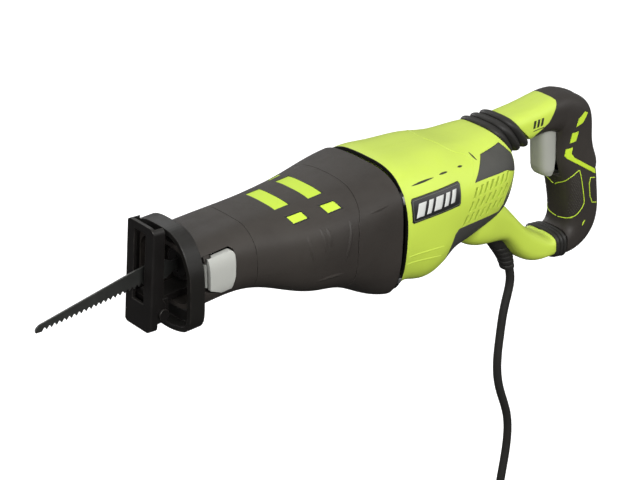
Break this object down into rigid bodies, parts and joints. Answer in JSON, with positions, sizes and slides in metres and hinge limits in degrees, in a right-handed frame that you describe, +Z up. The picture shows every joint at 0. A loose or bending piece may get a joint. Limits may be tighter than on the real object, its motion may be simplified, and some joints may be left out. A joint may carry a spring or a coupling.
{
  "type": "reciprocating saw",
  "caption": "Corded reciprocating saw: tapered rubber-booted nose with pivoting shoe and blade, lime motor housing and an open D-handle with bellows, trigger and cord.",
  "frame": {"origin": "where the stroke axis crosses the front face of the shoe", "axes": "-X along the stroke towards the blade tip, +X towards the rear handle, +Z up with the tool upright, Y across the tool with y = 0 on the housing split"},
  "size_m": [0.5798, 0.1064, 0.4571],
  "materials": {
    "lime_plastic": "satin moulded",
    "lime_accent": "satin moulded",
    "charcoal_rubber": "fine matt overmould",
    "black_plastic": "fine texture",
    "panel_plastic": "fine texture",
    "plate_plastic": "satin",
    "black_steel": "black oxide",
    "steel": "machined",
    "aluminium_cast": "as cast",
    "bronze": "sintered",
    "black_rubber": "matt",
    "blade_steel": "black coated",
    "grey_plastic": "satin",
    "trigger_plastic": "satin",
    "lamination": "stacked sheet",
    "copper": "enamelled wire",
    "carbon": "pressed",
    "brass": "plated"
  },
  "bodies": {
    "main_body": {"housing_left": "lime_plastic", "housing_right": "lime_plastic", "nose_inlays": "lime_accent", "nose_cover": "charcoal_rubber", "boot_front": "charcoal_rubber", "boot_rear": "charcoal_rubber", "side_panels": "panel_plastic", "name_plates": "plate_plastic", "nose_guard": "black_plastic", "shoe_pin": "black_steel", "shoe_bracket": "black_steel", "gear_case": "aluminium_cast", "gear_case_cover": "aluminium_cast", "gear_case_screws": "steel", "plunger_bushings": "bronze", "plunger_seal": "black_rubber", "lever_pin": "steel", "wobble_bearings": "steel", "motor_bearings": "steel", "field_stator": "lamination", "field_coils": "copper", "brush_holders": "black_plastic", "carbon_brushes": "carbon", "brush_springs": "bronze", "housing_screws": "steel", "fan_baffle": "black_plastic", "isolator_bushings": "black_rubber", "upper_bellows": "black_rubber", "lower_bellows": "black_rubber", "power_cord": "black_rubber", "cord_guard": "black_rubber", "cord_plug": "black_rubber", "plug_prongs": "brass", "cord_clamp": "black_plastic"},
    "plunger": {"plunger": "steel", "clamp_body": "black_steel", "clamp_pins": "steel", "clamp_spring": "steel", "blade": "blade_steel"},
    "clamp_collar": {"clamp_collar": "black_steel"},
    "clamp_lever": {"clamp_lever": "grey_plastic"},
    "wobble_arm": {"wobble_arm": "steel"},
    "wobble_shaft": {"wobble_shaft": "steel", "driven_gear": "steel", "wobble_race": "steel"},
    "armature": {"armature_shaft": "steel", "armature_core": "lamination", "armature_windings": "copper", "commutator": "copper", "cooling_fan": "black_plastic"},
    "pivot_shoe": {"pivot_shoe": "black_steel"},
    "handle": {"handle_left": "lime_plastic", "handle_right": "lime_plastic", "grip_overmold": "charcoal_rubber", "grip_accents": "lime_accent", "switch_body": "black_plastic", "trigger_spring": "steel", "handle_screws": "steel", "guide_rods": "steel"},
    "trigger": {"trigger": "trigger_plastic"}
  },
  "joints": [
    {"name": "plunger_stroke", "type": "slide", "parent": "main_body", "child": "plunger", "axis": [-1, 0, 0], "range_m": [-0.0143, 0.0143]},
    {"name": "wobble_swing", "type": "hinge", "parent": "main_body", "child": "wobble_arm", "pos_m": [0.188, 0, -0.045], "axis": [0, -1, 0], "range_deg": [-18.54, 18.54]},
    {"name": "motor_spin", "type": "hinge", "parent": "main_body", "child": "armature", "pos_m": [0.27, 0, -0.02255], "axis": [1, 0, 0], "continuous": true},
    {"name": "wobble_shaft_spin", "type": "hinge", "parent": "main_body", "child": "wobble_shaft", "pos_m": [0.188, 0, -0.045], "axis": [1, 0, 0], "continuous": true},
    {"name": "lever_swing", "type": "hinge", "parent": "main_body", "child": "clamp_lever", "pos_m": [0.0395, -0.0302, 0], "axis": [0, 0, -1], "range_deg": [0, 38]},
    {"name": "collar_turn", "type": "hinge", "parent": "plunger", "child": "clamp_collar", "pos_m": [0.045, 0, 0], "axis": [1, 0, 0], "range_deg": [0, 30.5]},
    {"name": "shoe_pivot", "type": "hinge", "parent": "main_body", "child": "pivot_shoe", "pos_m": [0.00873, 0, -0.026], "axis": [0, 1, 0], "range_deg": [-18, 2]},
    {"name": "handle_float", "type": "slide", "parent": "main_body", "child": "handle", "axis": [1, 0, 0], "range_m": [-0.002, 0.002], "deforming": ["upper_bellows", "lower_bellows"]},
    {"name": "trigger_pull", "type": "slide", "parent": "handle", "child": "trigger", "axis": [1, 0, 0], "range_m": [0, 0.007], "deforming": ["trigger_spring"]}
  ],
  "couplings": [
    {"joint": "wobble_swing", "follows": "plunger_stroke", "rad_per_m": 22.616},
    {"joint": "wobble_shaft_spin", "follows": "motor_spin", "ratio": -0.14286},
    {"joint": "collar_turn", "follows": "lever_swing", "ratio": 0.8}
  ]
}
